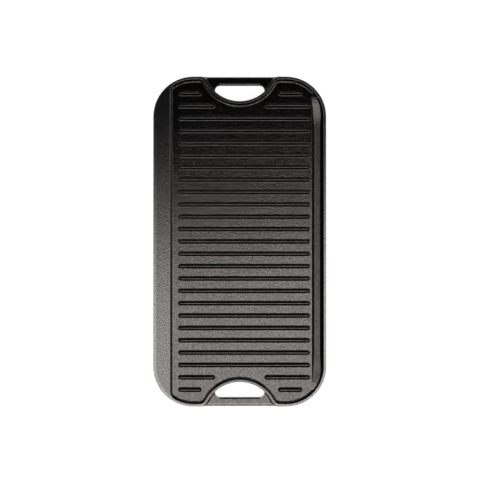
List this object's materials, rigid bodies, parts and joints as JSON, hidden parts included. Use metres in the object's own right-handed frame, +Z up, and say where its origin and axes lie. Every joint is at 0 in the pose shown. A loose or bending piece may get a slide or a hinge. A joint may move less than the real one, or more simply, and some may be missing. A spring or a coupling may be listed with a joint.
{
  "type": "reversible griddle plate",
  "caption": "Reversible cast-iron plate for a two-burner stove, with a ribbed grill face, a smooth griddle face, a grease gutter along each face and a hand slot at each end.",
  "frame": {"origin": "centre of the plate's box, on the plane it rests on", "axes": "+Y along the length to the rear end, +X across to the grill face's gutter, +Z up out of the grill face"},
  "size_m": [0.2666, 0.508, 0.016],
  "materials": {
    "seasoned_cast_iron": "sand-cast and oil-seasoned, satin black"
  },
  "bodies": {
    "root": {"cooking_web": "seasoned_cast_iron", "grill_gutter_rail": "seasoned_cast_iron", "griddle_gutter_rail": "seasoned_cast_iron", "front_rim": "seasoned_cast_iron", "front_left_corner": "seasoned_cast_iron", "front_right_corner": "seasoned_cast_iron", "rear_rim": "seasoned_cast_iron", "rear_left_corner": "seasoned_cast_iron", "rear_right_corner": "seasoned_cast_iron", "front_grip": "seasoned_cast_iron", "rear_grip": "seasoned_cast_iron", "long_ribs": "seasoned_cast_iron", "short_ribs": "seasoned_cast_iron"}
  },
  "joints": []
}
